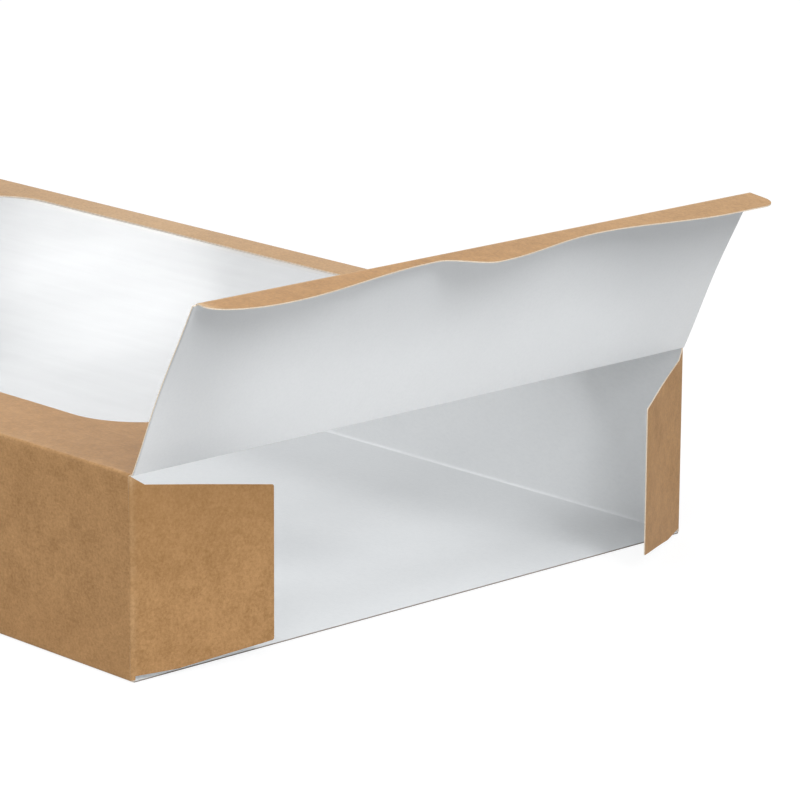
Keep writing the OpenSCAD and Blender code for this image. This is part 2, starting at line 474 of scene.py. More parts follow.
@dataclass
class Sheet:
    """A sheet of board or film as a grid: its middle surface, outward directions and two offsets.

    The outer face is the middle point plus the direction times the outer offset, and the inner face
    is the middle point less the direction times the inner offset. Wear with painted sheen is for
    both faces; painted shade is given for the inner face, and as shade for the outer one. An offset
    or a finish may be one number for the whole grid. Rims join both faces along the first column,
    last column, first row and last row.
    A closed sheet's last row joins its first, and border_rim picks the quads of its first rim.
    """

    middle: np.ndarray
    outward: ArrayLike
    outer: ArrayLike
    inner: ArrayLike
    wear_and_sheen: ArrayLike = 0.0
    painted_shade: ArrayLike = 0.0
    shade: ArrayLike = 0.0
    rims: tuple[bool, bool, bool, bool] = (True, True, True, True)
    closed: bool = False
    border_rim: np.ndarray | None = None

    def __post_init__(self) -> None:
        """Spreads the directions, the offsets and the finish values over the grid."""
        self.outward = np.broadcast_to(self.outward, self.middle.shape)
        for word in ("outer", "inner", "wear_and_sheen", "painted_shade", "shade"):
            setattr(self, word, np.broadcast_to(getattr(self, word), self.middle.shape[:2]))

    def facing_out(self) -> "Sheet":
        """The same sheet with its columns in reverse if its faces would point inwards.

        Returns:
            the sheet, whose first direction crossed with its second is its outward direction.
        """
        first = self.middle[1:, :-1] - self.middle[:-1, :-1]
        second = self.middle[:-1, 1:] - self.middle[:-1, :-1]
        if (np.cross(first, second) * self.outward[:-1, :-1]).sum() >= 0:
            return self
        words = ("middle", "outward", "outer", "inner", "wear_and_sheen", "painted_shade", "shade")
        left, right, start, end = self.rims
        turned = {word: getattr(self, word)[:, ::-1] for word in words}
        return replace(self, rims=(right, left, start, end), **turned)

    def arrays(self) -> tuple[np.ndarray, np.ndarray, np.ndarray, np.ndarray]:
        """Works out the points, faces, material numbers and finish values of the shell.

        Returns:
            points in millimetres, quads, a material number a quad, and wear with painted sheen and
            painted shade a point.
        """
        rows, columns = self.middle.shape[:2]
        above = self.middle + self.outward * self.outer[..., None]
        below = self.middle - self.outward * self.inner[..., None]
        points = np.concatenate([above.reshape(-1, 3), below.reshape(-1, 3)])
        top = np.arange(rows * columns).reshape(rows, columns)
        if self.closed:
            top = np.concatenate([top, top[:1]])
        low = top + rows * columns
        outer = np.stack([top[:-1, :-1], top[1:, :-1], top[1:, 1:], top[:-1, 1:]], -1)
        inner = np.stack([low[:-1, :-1], low[:-1, 1:], low[1:, 1:], low[1:, :-1]], -1)
        borders = (top[:, 0], top[:, -1], top[0], top[-1])
        rims = []
        for wanted, line, reverse in zip(self.rims, borders, (False, True, True, False)):
            under = line + rows * columns
            quads = np.stack([line[:-1], under[:-1], under[1:], line[1:]], -1)
            if wanted:
                rims.append(quads[:, ::-1] if reverse else quads)
        if self.border_rim is not None:
            rims[0] = rims[0][self.border_rim]
        groups = [outer.reshape(-1, 4), inner.reshape(-1, 4), *rims]
        kinds = [Skin.OUTER, Skin.INNER] + [Skin.CUT] * len(rims)
        skins = np.concatenate([np.full(len(g), int(k)) for g, k in zip(groups, kinds)])
        # Painted shade: the outer face takes shade, the inner face the other painted shade.
        tones = (self.shade, self.painted_shade)
        finish = [np.stack([self.wear_and_sheen.ravel(), tone.ravel()], 1) for tone in tones]
        return points, np.concatenate(groups), skins, np.concatenate(finish)


def make_piece(
    name: str, sheets: list[Sheet], materials: list[bpy.types.Material], weld: bool = False
) -> bpy.types.Object:
    """Makes one object of one or more sheets.

    Args:
        name: name of the object.
        sheets: its sheets.
        materials: its materials, by material number.
        weld: whether points that meet are merged, where sheets share a border.

    Returns:
        the object, at the origin, in metres.
    """
    parts = [sheet.facing_out().arrays() for sheet in sheets]
    starts = np.cumsum([0] + [len(part[0]) for part in parts[:-1]])
    faces = np.concatenate([part[1] + start for part, start in zip(parts, starts)])
    points, skins, finish = (np.concatenate([part[i] for part in parts]) for i in (0, 2, 3))
    if weld:
        _, first, back = np.unique(
            np.round(points, 3) + 0.0, axis=0, return_index=True, return_inverse=True
        )
        points, finish, faces = points[first], finish[first], back.ravel()[faces]
    mesh = bpy.data.meshes.new(name)
    mesh.vertices.add(len(points))
    mesh.vertices.foreach_set("co", (points * MM).astype(np.float32).ravel())
    mesh.loops.add(faces.size)
    mesh.loops.foreach_set("vertex_index", faces.astype(np.int32).ravel())
    mesh.polygons.add(len(faces))
    mesh.polygons.foreach_set("loop_start", np.arange(0, faces.size, 4, dtype=np.int32))
    mesh.polygons.foreach_set("material_index", skins.astype(np.int32))
    mesh.polygons.foreach_set("use_smooth", np.ones(len(faces), bool))
    mesh.update(calc_edges=True)
    mesh.validate()
    # The two point attributes are wear with painted sheen, and painted shade.
    for column, word in enumerate(("wear_and_sheen", "painted_shade")):
        values = np.ascontiguousarray(finish[:, column], np.float32)
        mesh.attributes.new(word, "FLOAT", "POINT").data.foreach_set("value", values)
    mesh.set_sharp_from_angle(angle=SMOOTH_ANGLE)
    for material in materials:
        mesh.materials.append(material)
    piece = bpy.data.objects.new(name, mesh)
    bpy.context.scene.collection.objects.link(piece)
    return piece


def attach(piece: bpy.types.Object, body: str, node: str) -> None:
    """Lets a piece ride on its body and stand for its node.

    Args:
        piece: the object.
        body: CAD body that it moves with.
        node: CAD node that it stands for.
    """
    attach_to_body(piece, body)
    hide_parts(node)
    LOG.info("%s: %d faces on body %s", piece.name, len(piece.data.polygons), body)


@dataclass
class Sleeve:
    """Floor, walls and top, folded from one sheet round four creases, with the window cut out.

    A pair that ends in rise or side is the start and run of an ease. One that ends in place is the
    middle and spread of a bell.
    """

    window_half_length: float = 202.0
    window_low: float = -111.5
    window_high: float = 135.5
    window_radius: float = 37.0
    top_end: float = 249.75
    floor_end: float = 250.0
    wall_front: Pair = (248.7, 248.97)
    wall_rear: float = 248.8
    end_run: float = 215.0
    fold_steps: int = 8
    straight_steps: int = 42
    side_steps: int = 26
    corner_steps: int = 16
    ring_steps: int = 9
    crease_bead: float = 0.13
    bead_run: float = 0.72
    fold_wear: float = 0.34
    panel_rise: Pair = (0.3, 0.7)
    wall_bow: float = 0.55
    end_bow: float = 0.35
    end_rise: Pair = (200.0, 50.0)
    top_sag: float = 0.5
    even_floor_shade: float = 0.1
    strip_floor_shade: float = 0.22
    strip_side: Pair = (70.0, 45.0)
    strip_loss: float = 0.5
    loss_rise: Pair = (170.0, 50.0)
    spot_floor_shade: float = 0.26
    spot_x_place: Pair = (158.0, 34.0)
    spot_y_place: Pair = (10.0, 34.0)
    edge_wear: float = 0.18
    pale_sheen: float = 0.35
    pale_side: Pair = (118.0, 20.0)
    pale_peak: float = 0.3
    pale_peak_place: Pair = (-100.0, 55.0)
    left_shade: float = 0.15
    left_side: Pair = (-115.0, 30.0)
    front_shade: float = 0.08
    front_rise: Pair = (130.0, 80.0)

    @property
    def flat_y(self) -> float:
        """Where the flat part of the top ends, beside the fold."""
        return BOX.width / 2 - BOX.fold_radius

    @property
    def window_middle(self) -> float:
        """Middle of the window across the box."""
        return (self.window_low + self.window_high) / 2

    @property
    def window_half_width(self) -> float:
        """Half the width of the window."""
        return (self.window_high - self.window_low) / 2

    def stations(self) -> np.ndarray:
        """Places along the box: even along the straight window edge, then out to the ends.

        Returns:
            rising X values.
        """
        straight = self.window_half_length - self.window_radius
        half = self.corner_steps // 2
        inside = np.linspace(-straight, straight, self.straight_steps + 1)
        outside = np.linspace(straight, self.top_end, half + 1)[1:]
        return np.concatenate([-outside[::-1], inside, outside])

    def sag(self, x: np.ndarray, y: np.ndarray) -> np.ndarray:
        """How far the top sags: nothing at its folds and ends, most in its middle, slowly waved.

        Args:
            x: places along the box.
            y: places across the box.

        Returns:
            the drop at each place.
        """
        along = 1.0 - np.clip(np.abs(x) / self.top_end, 0, 1) ** 8
        across = 1.0 - np.clip(np.abs(y) / self.flat_y, 0, 1) ** 6
        slow, quick = np.sin(x / 47.0 + 1.0), np.sin(x / 19.0 + y / 60.0)
        return self.top_sag * along * across * (1.0 + 0.35 * slow + 0.2 * quick)

    def bow(self, x: np.ndarray, z: np.ndarray) -> np.ndarray:
        """How far a side wall bows inwards: a half wave over its height, slowly waved along it.

        Args:
            x: places along the box.
            z: heights.

        Returns:
            the bow at each place, least at the box's ends.
        """
        share = np.clip((z - BOX.fold_radius) / (BOX.height - 2 * BOX.fold_radius), 0, 1)
        up = np.sin(np.pi * share) ** 2
        free = 1.0 - ease(np.abs(x), *self.end_rise)
        wave = 0.75 + 0.25 * np.sin(x / 38.0 + 0.6)
        return self.wall_bow * up * wave * (self.end_bow + (1 - self.end_bow) * free)

    def profile(self) -> tuple[np.ndarray, np.ndarray, np.ndarray]:
        """Section of the folded sheet, from the top's left edge round under the floor to its right.

        Each fold is a quarter circle about a centre set in from the corner, and the walls and the
        floor join the circles.

        Returns:
            points (y, z), outward directions and each point's distance from its nearest fold.
        """
        r, c = BOX.mid_radius, self.flat_y
        low, high = BOX.fold_radius, BOX.height - BOX.fold_radius
        turn = np.radians(np.linspace(0, 90, self.fold_steps + 1))
        arcs = [((-c, high), 90), ((-c, low), 180), ((c, low), 270), ((c, high), 360)]
        wall = spaced((low, low + 2, 2), (low + 2, high - 2, 14), (high - 2, high, 2))[1:-1]
        floor = spaced((-c, -c + 2, 2), (-c + 2, c - 2, 48), (c - 2, c, 2))[1:-1]
        runs = [
            np.stack([np.full(len(wall), -BOX.crease_y), wall[::-1]], 1),
            np.stack([floor, np.full(len(floor), BOX.half_board)], 1),
            np.stack([np.full(len(wall), BOX.crease_y), wall], 1),
            np.zeros((0, 2)),
        ]
        faces = [(-1.0, 0.0), (0.0, -1.0), (1.0, 0.0), (0.0, 1.0)]
        points, directions, folds = [], [], []
        for (centre, start), run, face in zip(arcs, runs, faces):
            angle = np.radians(start) + turn
            round_out = np.stack([np.cos(angle), np.sin(angle)], 1)
            arc = np.array(centre) + r * round_out
            points += [arc, run]
            directions += [round_out, np.broadcast_to(face, run.shape)]
            folds.append(arc[self.fold_steps // 2])
        section = np.concatenate(points)
        away = np.linalg.norm(section[:, None] - np.array(folds), axis=2).min(axis=1)
        return section, np.concatenate(directions), away

    def folded_sheet(self) -> Sheet:
        """Floor and side walls: the section carried along the box to where each panel ends.

        Returns:
            the sheet, open at both ends and along the top's folds.
        """
        section, direction, away = self.profile()
        x, y, z, away = self.stations()[None], section[:, :1], section[:, 1:], away[:, None]
        start, run = self.panel_rise
        upper = ease(z, BOX.height - (start + run), run)
        lower = 1.0 - ease(z, start, run)
        wall = 1.0 - upper - lower
        level = upper * self.top_end + lower * self.floor_end
        front = level + wall * np.where(y < 0, *self.wall_front)
        rear = level + wall * self.wall_rear
        ramp = ease(np.abs(x), self.end_run, self.top_end - self.end_run)
        place = x + np.where(x > 0, front - self.top_end, self.top_end - rear) * ramp
        inward = np.where(np.abs(direction[:, 1:]) < 1e-6, self.bow(place, z), 0.0)
        middle = vectors(place, y - direction[:, :1] * inward, z)
        outward = vectors(np.zeros(place.shape), direction[:, :1], direction[:, 1:])
        bead = self.crease_bead * np.clip(1 - (away / self.bead_run) ** 2, 0, 1) ** 2
        patches = 0.6 + 0.4 * np.sin(place / 9.0 + 3.0 * np.sin(place / 23.0))
        worn_and_sheen = self.fold_wear * bell(away, 0.0, 1.1) * patches
        # Painted shade on the floor's inner face, where the flaps and the lid shade it.
        on_floor = (z < BOX.fold_radius) & (np.abs(y) < self.flat_y)
        painted_shade = np.where(on_floor, self.painted_floor_shade(place, y), 0.0)
        outer, inner = BOX.half_board, BOX.half_board + bead
        rims = (True, True, False, False)
        return Sheet(middle, outward, outer, inner, worn_and_sheen, painted_shade, rims=rims)

    def painted_floor_shade(self, x: np.ndarray, y: np.ndarray) -> np.ndarray:
        """Painted shade on the floor: an even share, a strip along its right fold and a round spot
        by its middle.

        Args:
            x: places along the box.
            y: places across the box.

        Returns:
            the painted shade at each place.
        """
        along = 1 - self.strip_loss * ease(x, *self.loss_rise)
        strip = self.strip_floor_shade * ease(y, *self.strip_side) * along
        spot = bell(x, *self.spot_x_place) * bell(y, *self.spot_y_place)
        return self.even_floor_shade + strip + self.spot_floor_shade * spot

    def top_finish(self, x: np.ndarray, y: np.ndarray) -> tuple[np.ndarray, np.ndarray]:
        """Finish of the top's outer face.

        Its folds are worn. The strip right of the window has a painted sheen, most behind the
        middle.
        The strip left of the window has painted shade, more towards the front.

        Args:
            x: places along the box.
            y: places across the box.

        Returns:
            wear with painted sheen, and painted shade, at each place.
        """
        # The pale strip is a painted sheen, and the dark share is painted shade.
        pale = self.pale_sheen + self.pale_peak * bell(x, *self.pale_peak_place)
        worn_and_sheen = self.edge_wear * bell(self.flat_y - np.abs(y), 0.0, BOX.fold_radius)
        dark = self.left_shade + self.front_shade * ease(x, *self.front_rise)
        worn_and_sheen += pale * ease(y, *self.pale_side)
        return worn_and_sheen, dark * (1 - ease(y, *self.left_side))

    def ring_quarter(self, end: End, side: Side) -> tuple[np.ndarray, np.ndarray]:
        """A quarter of the window outline and of the top's border, point for point.

        It runs from the middle of the window's short edge, round the corner, to the middle of its
        long edge. A point on a straight stretch goes straight out to the border; those of the
        quarter circle share the border's corner, half on each of its sides.

        Args:
            end: which end of the box.
            side: which side of the box.

        Returns:
            points of the outline and points of the border, as (x, y).
        """
        a, b, r = self.window_half_length, self.window_half_width, self.window_radius
        centre = self.window_middle
        half = self.corner_steps // 2
        short = np.linspace(0, b - r, self.side_steps // 2 + 1)
        long = np.linspace(a - r, 0, self.straight_steps // 2 + 1)
        turn = np.radians(np.linspace(0, 90, self.corner_steps + 1))[1:-1]
        rise = np.linspace(centre + side * (b - r), side * self.flat_y, half + 1)[1:]
        run = np.linspace(self.top_end, a - r, half + 1)[1:-1]
        inner_x = np.concatenate([np.full(len(short), a), a - r + r * np.cos(turn), long])
        inner_y = np.concatenate([short, b - r + r * np.sin(turn), np.full(len(long), b)])
        border_x = np.concatenate([np.full(len(short) + half, self.top_end), run, long])
        edge = np.full(len(run) + len(long), side * self.flat_y)
        border_y = np.concatenate([centre + side * short, rise, edge])
        inner = np.stack([end * inner_x, centre + side * inner_y], 1)
        return inner, np.stack([end * border_x, border_y], 1)

    def top_sheet(self) -> Sheet:
        """The top: rows that blend from the border in to the window outline, sagging a little.

        Returns:
            the sheet, closed round the window, with a rim on the border only at the box's ends.
        """
        turns = [
            (End.FRONT, Side.RIGHT, 1),
            (End.REAR, Side.RIGHT, -1),
            (End.REAR, Side.LEFT, 1),
            (End.FRONT, Side.LEFT, -1),
        ]
        quarters = [
            tuple(path[::step][:-1] for path in self.ring_quarter(end, side))
            for end, side, step in turns
        ]
        inner, border = (np.concatenate(paths) for paths in zip(*quarters))
        share = ease(np.linspace(0, 1, self.ring_steps + 1), 0.0, 1.0)[None, :, None]
        flat = border[:, None] * (1 - share) + inner[:, None] * share
        x, y = flat[..., 0], flat[..., 1]
        middle = vectors(x, y, BOX.height - BOX.half_board - self.sag(x, y))
        worn_and_sheen, shade = self.top_finish(x, y)
        at_end = np.abs(np.abs(border[:, 0]) - self.top_end) < 1e-6
        return Sheet(
            middle,
            (0.0, 0.0, 1.0),
            BOX.half_board,
            BOX.half_board,
            worn_and_sheen,
            shade=shade,
            rims=(True, True, False, False),
            closed=True,
            border_rim=at_end & np.roll(at_end, -1),
        )

    def build(self, palette: Palette) -> None:
        """Makes the sleeve.

        Args:
            palette: the finishes.
        """
        sheets = [self.folded_sheet(), self.top_sheet()]
        piece = make_piece("sleeve", sheets, palette.board(), weld=True)
        attach(piece, "box", "carton_body")


@dataclass
class DustFlap:
    """A dust flap with its rounded crease, swung in from a side wall.

    The wear's place is the middle and spread of a bell over the depth, and the shade's rise is the
    start and run of an ease over the height.
    """

    end: End
    side: Side
    swing: float
    radius: float = 1.2
    bow: float = 0.35
    depth: float = 62.0
    shoulder: float = 6.0
    foot_width: float = 1.2
    foot_step: float = 0.02
    foot_run: float = 20.0
    foot_low: float = 0.9
    foot_high: float = 2.5
    low_end: float = 7.7
    top_root: float = 82.2
    top_shoulder: float = 78.2
    top_end: float = 70.6
    corner: float = 0.8
    rows: int = 26
    turn_steps: int = 10
    crease_bead: float = 0.18
    wear_place: Pair = (0.2, 1.6)
    even_wear: float = 0.06
    blotch_wear: float = 0.14
    corner_wear: float = 0.6
    corner_spread: float = 4.0
    top_shade: float = 0.0
    shade_rise: Pair = (22.0, 62.0)

    @property
    def reach(self) -> float:
        """Distance from the crease's corner to where its rounding begins."""
        return self.radius * math.tan(math.radians(self.swing) / 2)

    def heights(self, depth: np.ndarray) -> tuple[np.ndarray, np.ndarray]:
        """Bottom and top edge over the depth: straight stretches, with the free corners rounded.

        Args:
            depth: distances from the crease.

        Returns:
            bottom and top heights.
        """
        low = np.interp(
            depth,
            [0, self.foot_width, self.foot_width + self.foot_step, self.foot_run, self.depth],
            [self.foot_low, self.foot_low, self.foot_high, self.foot_high, self.low_end],
        )
        high = np.interp(
            depth,
            [0, self.shoulder, self.depth],
            [self.top_root, self.top_shoulder, self.top_end],
        )
        past = np.clip((depth - (self.depth - self.corner)) / self.corner, 0, 1)
        round_off = self.corner * (1 - np.sqrt(1 - past**2))
        return low + round_off, high - round_off

    def plan(self) -> tuple[np.ndarray, np.ndarray, np.ndarray]:
        """Path of the flap seen from above: a circle that leaves the wall's line, then a straight.

        The straight bows inwards by a squared sine over its length.

        Returns:
            points (x, y), outward directions (x, y) and each point's distance from the crease.
        """
        s, reach = float(self.side), self.reach
        swing = math.radians(self.swing)
        turn = np.linspace(0, swing, self.turn_steps + 1)
        start = np.array([BOX.crease_x - reach, s * BOX.crease_y])
        centre = start - np.array([0.0, s]) * self.radius
        out_arc = np.stack([np.sin(turn), s * np.cos(turn)], 1)
        arc = centre + self.radius * out_arc
        step = self.foot_width + self.foot_step
        depth = spaced(
            (reach, self.foot_width, 1),
            (step, step, 1),
            (2.0, self.shoulder - 0.1, 4),
            (self.shoulder, self.foot_run, 8),
            (self.foot_run + 1.0, self.depth - self.corner, 22),
            (self.depth - self.corner, self.depth, 6),
        )
        along = np.array([math.cos(swing), -s * math.sin(swing)])
        out_flat = np.array([math.sin(swing), s * math.cos(swing)])
        bend = self.bow * np.sin(np.pi * (depth - reach) / (self.depth - reach)) ** 2
        corner = np.array([BOX.crease_x, s * BOX.crease_y])
        flat = corner + depth[:, None] * along - bend[:, None] * out_flat
        depths = np.concatenate([np.linspace(-reach, reach, self.turn_steps + 1), depth[1:]])
        directions = np.concatenate([out_arc, np.broadcast_to(out_flat, flat[1:].shape)])
        return np.concatenate([arc, flat[1:]]), directions, depths

    def sheet(self) -> Sheet:
        """The path carried up from the bottom edge to the top edge, worn in blotches at its crease.

        Returns:
            the sheet.
        """
        points, directions, depth = self.plan()
        low, high = self.heights(np.clip(depth, 0, None))
        up = np.linspace(0, 1, self.rows + 1)[None]
        z = low[:, None] * (1 - up) + high[:, None] * up
        end, depth = int(self.end), depth[:, None]
        middle = vectors(points[:, :1] * end, points[:, 1:], z)
        outward = vectors(directions[:, :1] * end, directions[:, 1:], 0 * z)
        bead = self.crease_bead * bell(depth, 0.0, 0.5)
        blotch = 0.5 + 0.5 * np.sin(z / 3.1 + 2.0 * np.sin(z / 7.3))
        corner = self.corner_wear * bell(z, self.top_root, self.corner_spread)
        share = self.even_wear + self.blotch_wear * blotch + corner
        worn_and_sheen = bell(depth, *self.wear_place) * share
        # Painted shade: darker towards the top edge.
        shade = self.top_shade * ease(z, *self.shade_rise)
        outer, inner = BOX.half_board, BOX.half_board + bead
        return Sheet(middle, outward, outer, inner, worn_and_sheen, shade=shade)

    def build(self, name: str, body: str, node: str, palette: Palette) -> None:
        """Makes the flap as a named piece that rides on a CAD body and stands for a CAD node."""
        attach(make_piece(name, [self.sheet()], palette.board()), body, node)


@dataclass
class TuckEdge:
    """Waved edge of a tuck flap: lobes and waists joined by cosine waves, with elliptical ends."""

    half_width: float = 150.5
    left_end: float = 4.0
    left_run: float = 32.0
    left_lobe: float = 15.5
    left_waist_y: float = -33.0
    left_waist: float = 6.0
    thumb_y: float = -11.0
    thumb: float = 17.5
    right_waist_y: float = 52.0
    right_waist: float = 9.5
    right_lobe: float = 17.0
    right_lobe_run: float = 27.0
    right_radius: float = 8.0
    end_steps: int = 12
    middle_steps: int = 120

    def turning_points(self) -> tuple[np.ndarray, np.ndarray]:
        """Works out where the edge turns from lobe to waist and back.

        Returns:
            places across the flap, and the depth at each.
        """
        w, lobe = self.half_width, self.right_lobe
        ys = [-w + self.left_run, self.left_waist_y, self.thumb_y, self.right_waist_y]
        ys += [w - self.right_lobe_run, w - self.right_radius]
        deep = [self.left_lobe, self.left_waist, self.thumb, self.right_waist, lobe, lobe]
        return np.array(ys), np.array(deep)

    def depth(self, y: np.ndarray) -> np.ndarray:
        """Depth of the flap across its width.

        Between two turning points it follows half a cosine wave. Each end is a quarter ellipse.

        Args:
            y: places across the flap.

        Returns:
            the depth at each place.
        """
        w = self.half_width
        ys, deep = self.turning_points()
        part = np.clip(np.searchsorted(ys, y) - 1, 0, len(ys) - 2)
        share = np.clip((y - ys[part]) / (ys[part + 1] - ys[part]), 0, 1)
        wave = deep[part] + (deep[part + 1] - deep[part]) * (1 - np.cos(np.pi * share)) / 2
        left = np.clip((y + w) / self.left_run, 0, 1)
        left_edge = self.left_end + (self.left_lobe - self.left_end) * np.sqrt(1 - (1 - left) ** 2)
        right = np.clip((w - y) / self.right_radius, 0, 1)
        root = self.right_lobe - self.right_radius
        right_edge = root + self.right_radius * np.sqrt(1 - (1 - right) ** 2)
        wave = np.where(y < ys[0], left_edge, wave)
        return np.where(y > ys[-1], right_edge, wave)

    def stations(self) -> np.ndarray:
        """Places across the flap, closer where its ends are round.

        Returns:
            rising Y values.
        """
        w = self.half_width
        ends = 1 - np.cos(np.radians(np.linspace(0, 90, self.end_steps + 1)))
        left = -w + self.left_run * ends
        right = w - self.right_radius * ends[::-1]
        middle = np.linspace(left[-1], right[0], self.middle_steps + 1)[1:-1]
        return np.concatenate([left, middle, right])


@dataclass
class LidFlap:
    """A lid flap and its tuck flap, worked out lying level and then turned about the crease.

    Its name starts the names of both pieces. Bodies and nodes are the lid's and then the tuck's.
    A pair that ends in rise is the start and run of an ease. One that ends in place is the middle
    and spread of a bell.
    """

    name: str
    end: End
    raised: float
    tuck_bend: float
    bodies: tuple[str, str]
    nodes: tuple[str, str]
    bow: float = 0.95
    ripple: float = 0.22
    fold_radius: float = 1.1
    crease_gap: float = 0.1
    curl: float = 0.12
    lid_bead: float = 0.12
    tuck_bead: float = 0.2
    root_wear: float = 0.35
    tip_wear: float = 0.5
    tip_painted_shade: float = 0.4
    left_painted_shade: float = 0.34
    left_fall: float = 0.002
    left_lean: float = 0.2
    left_place: Pair = (-128.0, 28.0)
    low_painted_shade: float = 0.06
    low_depth_place: Pair = (7.0, 5.0)
    low_place: Pair = (-128.0, 30.0)
    right_painted_shade: float = 0.16
    right_rise: Pair = (100.0, 60.0)
    right_gain: float = 0.08
    gain_rise: Pair = (0.0, 50.0)
    edge_painted_shadow: float = 0.5
    line_inset: float = 0.2
    line_spread: float = 0.4
    fold_wear: float = 0.55
    side_wear: float = 0.26
    side_rise: Pair = (-60.0, 160.0)
    corner_wear: float = 0.9
    corner_spread: float = 3.0
    tuck_shade: float = 0.1
    turn_steps: int = 8
    depth_steps: int = 14
    edge: TuckEdge = field(default_factory=TuckEdge)

    @property
    def reach(self) -> float:
        """Distance from the tuck's crease to where its rounding begins."""
        return self.fold_radius * math.tan(math.radians(self.tuck_bend) / 2)

    def placed(self, local: np.ndarray, shift: bool) -> np.ndarray:
        """Turns points or directions from the level flap to its place at the box.

        The rotation takes the flap's length to the raised direction, and at the rear it also turns
        half round.

        Args:
            local: points or directions with the flap's length along X.
            shift: whether to move them to the crease.

        Returns:
            the turned points or directions.
        """
        angle = math.radians(self.raised)
        c, s, sign = math.cos(angle), math.sin(angle), float(self.end)
        x, y, z = local[..., 0], local[..., 1], local[..., 2]
        turned = vectors(sign * (c * x - s * z), sign * y, s * x + c * z)
        crease = np.array([sign * BOX.lid_x, 0.0, BOX.lid_z])
        return turned + crease if shift else turned

    def plate(self) -> Sheet:
        """The lid's plate: level, with a rounded root, a slow bow along it and faint cross ripples.

        The bow is a squared sine over the length, so that it leaves both creases straight.

        Returns:
            the sheet.
        """
        half, half_width = BOX.half_board, BOX.lid_half_width
        root = half * np.cos(np.radians(np.linspace(8, 90, 6)))
        end = BOX.lid_length - self.reach - self.crease_gap
        length = spaced((0.5, 3.0, 3), (3.0, end - 3.0, 34), (end - 3.0, end, 4))
        y = spaced(
            (-half_width, 1.0 - half_width, 3),
            (1.0 - half_width, half_width - 1.0, 95),
            (half_width - 1.0, half_width, 3),
        )
        v, w = np.meshgrid(np.concatenate([-root, length]), y, indexing="ij")
        rise = np.sin(np.pi * np.clip(v / end, 0, 1)) ** 2
        wave = np.sin(w / 31.0 + 0.8) + 0.6 * np.sin(w / 13.0 + v / 20.0)
        z = self.bow * rise * (1 + 0.1 * np.sin(w / 55.0)) + self.ripple * rise * wave
        thick = half * np.sqrt(np.clip(1 - (np.clip(-v, 0, half) / half) ** 2, 0.02, 1))
        bead = self.lid_bead * bell(v, end, 0.5)
        worn_and_sheen = self.root_wear * bell(v, 0.0, 1.0) + self.tip_wear * bell(v, end, 1.0)
        # Painted shade on the inner face: darker towards the tuck's crease, where the tuck shades
        # it, and by the edges.
        painted_shade = self.tip_painted_shade * ease(v, 22.0, end - 20.0) + self.side_painted_shade(v, w)
        outward = self.placed(np.array([0.0, 0.0, 1.0]), False)
        return Sheet(self.placed(vectors(v, w, z), True), outward, thick, thick + bead, worn_and_sheen, painted_shade)

    def side_painted_shade(self, v: np.ndarray, w: np.ndarray) -> np.ndarray:
        """Painted shade beside the plate's left and right edges, and a thin painted shadow line
        along its left edge.

        Args:
            v: distances from the crease.
            w: places across the plate.

        Returns:
            the painted shade at each place.
        """
        fading = self.left_painted_shade - self.left_fall * v
        left = fading * bell(w + self.left_lean * v, *self.left_place)
        low = self.low_painted_shade * bell(v, *self.low_depth_place) * bell(w, *self.low_place)
        rising = self.right_painted_shade + self.right_gain * ease(v, *self.gain_rise)
        right = ease(w + v, *self.right_rise) * rising
        line = self.edge_painted_shadow * bell(w, self.line_inset - BOX.lid_half_width, self.line_spread)
        return left + low + right + line

    def tuck(self) -> Sheet:
        """The tuck: an arc round the crease, then a slightly curled stretch out to the waved edge.

        Returns:
            the sheet.
        """
        y = self.edge.stations()
        bend = math.radians(self.tuck_bend)
        c, s = math.cos(bend), math.sin(bend)
        r, reach = self.fold_radius, self.reach
        turn = np.linspace(0, bend, self.turn_steps + 1)[:, None]
        arc = vectors(BOX.lid_length - reach + r * np.sin(turn), y, -r + r * np.cos(turn))
        share = np.linspace(0, 1, self.depth_steps + 1)[1:, None]
        run = reach + (self.edge.depth(y)[None] - reach) * share
        curl = self.curl * (run / 17.0) ** 2
        flat = vectors(BOX.lid_length + run * c - curl * s, y, -run * s - curl * c)
        level = np.concatenate([arc, flat])
        lean = np.concatenate([turn, np.full(share.shape, bend)])
        outward = self.placed(vectors(np.sin(lean), 0.0, np.cos(lean)), False)
        around = np.broadcast_to((turn / bend * 2 - 1) * reach, arc.shape[:2])
        distance = np.concatenate([around, run])
        bead = self.tuck_bead * bell(distance, 0.0, 0.5)
        w = level[..., 1]
        corner = self.corner_wear * bell(w, -self.edge.half_width, self.corner_spread)
        worn_and_sheen = self.fold_wear * bell(distance, 0.0, 1.0) + self.side_wear * ease(w, *self.side_rise)
        worn_and_sheen = np.maximum(worn_and_sheen, corner)
        outer, inner = BOX.half_board, BOX.half_board + bead
        middle = self.placed(level, True)
        # The shade is painted: the tuck's outer face is a little darker all over.
        return Sheet(middle, outward, outer, inner, worn_and_sheen, shade=self.tuck_shade)

    def build(self, palette: Palette) -> None:
        """Makes the lid flap and its tuck.

        Args:
            palette: the finishes.
        """
        words, sheets = ("lid", "tuck"), (self.plate(), self.tuck())
        for word, sheet, body, node in zip(words, sheets, self.bodies, self.nodes):
            attach(make_piece(f"{self.name}_{word}", [sheet], palette.board()), body, node)


